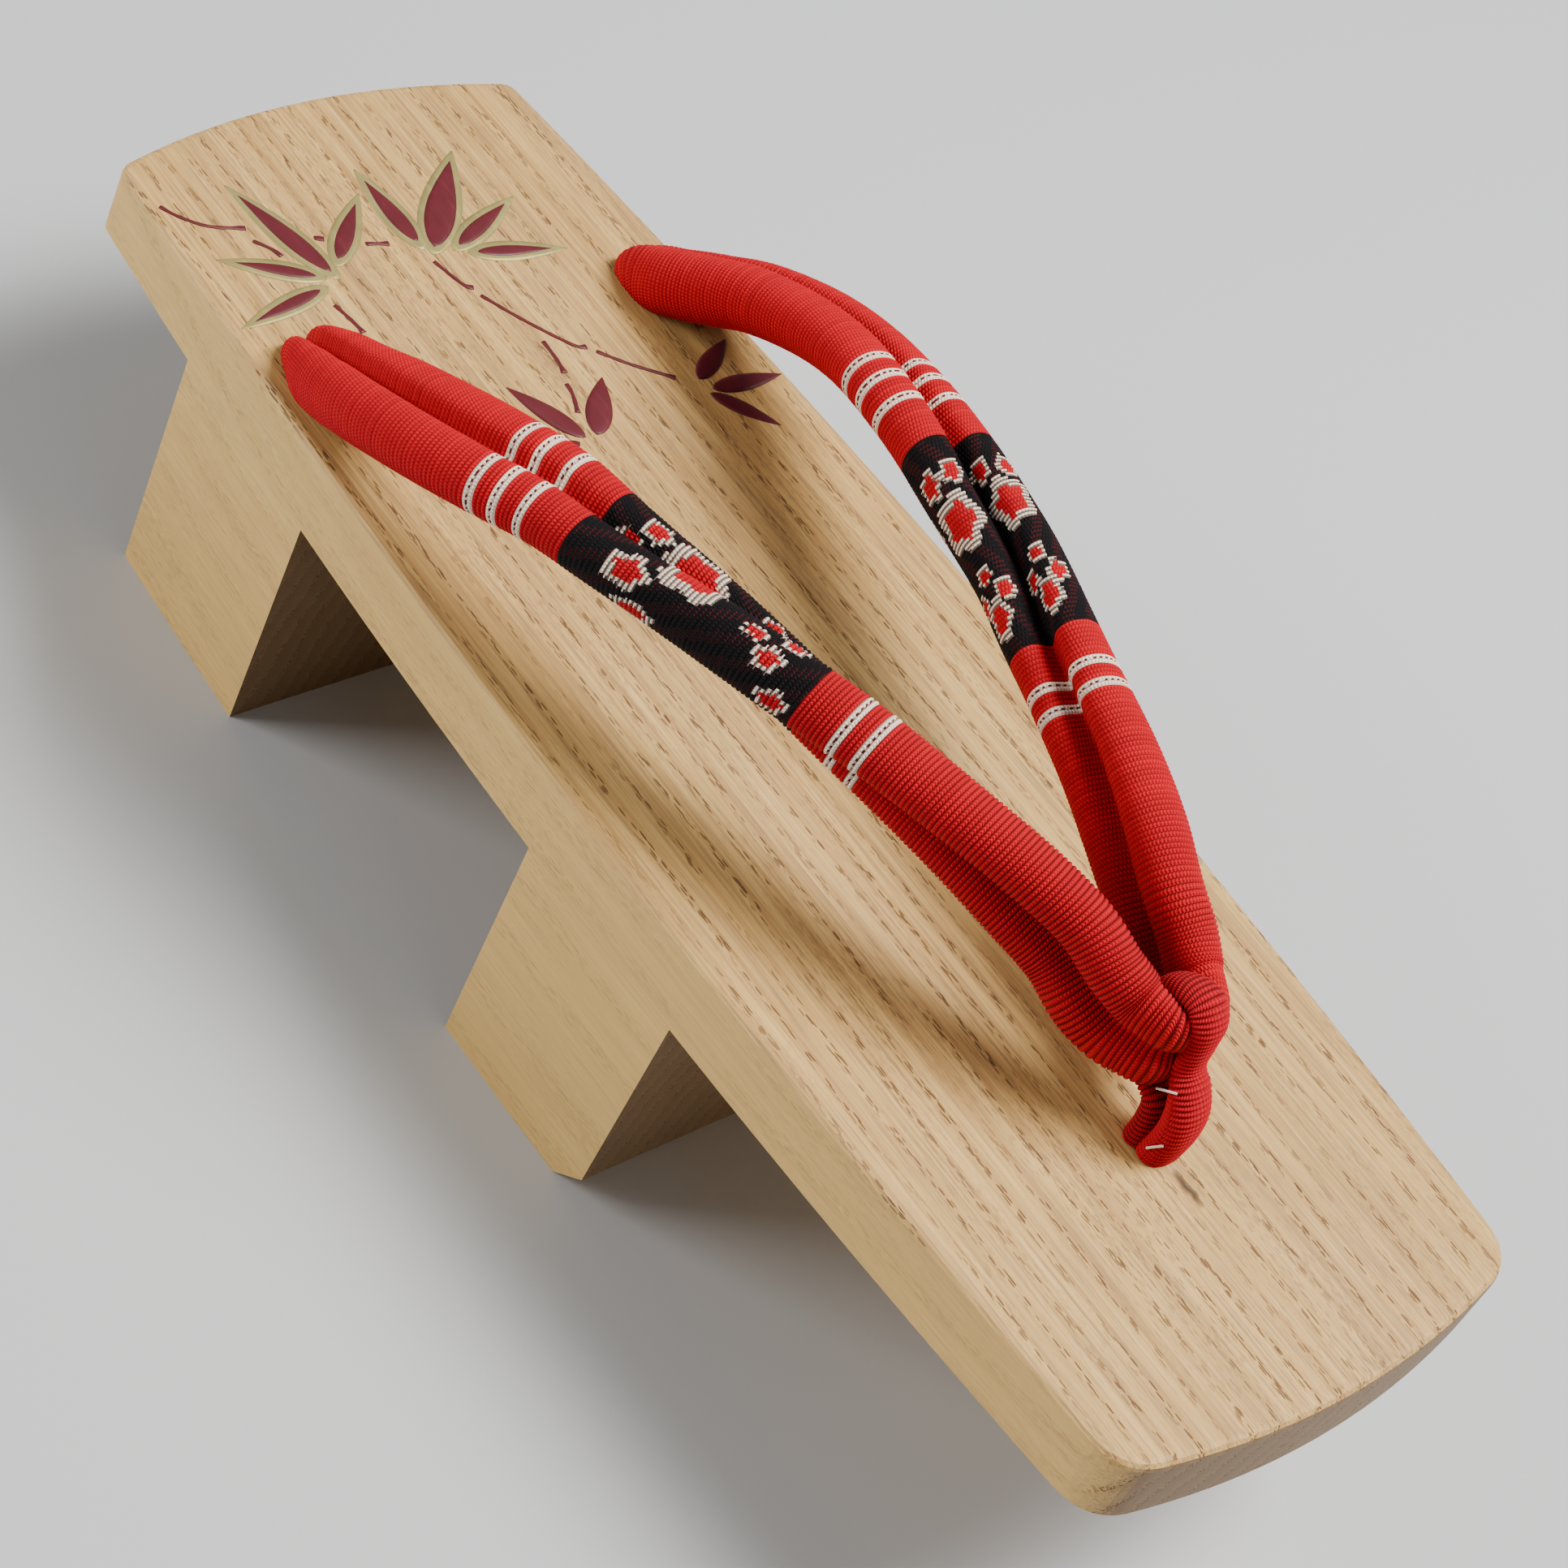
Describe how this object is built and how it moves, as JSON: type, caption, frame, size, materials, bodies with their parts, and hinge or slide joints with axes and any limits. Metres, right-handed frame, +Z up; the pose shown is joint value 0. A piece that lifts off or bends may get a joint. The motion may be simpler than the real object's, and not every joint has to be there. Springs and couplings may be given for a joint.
{
  "type": "geta sandal",
  "caption": "Low wooden sandal carved from one block with a front and a rear tooth, worn on a padded thong strap held down by a toe loop.",
  "frame": {"origin": "on the ground, below the middle of the sole", "axes": "+X to the wearer's right, +Y to the toe, +Z up"},
  "size_m": [0.0837, 0.24, 0.0816],
  "materials": {
    "wood": "planed and lightly polished pale wood with open grain",
    "strap_cloth": "ribbed woven cloth over padding, with a woven pattern",
    "loop_cloth": "plain ribbed woven cloth"
  },
  "bodies": {
    "root": {"wooden_sole": "wood", "thong_strap": "strap_cloth", "toe_loop": "loop_cloth"}
  },
  "joints": []
}
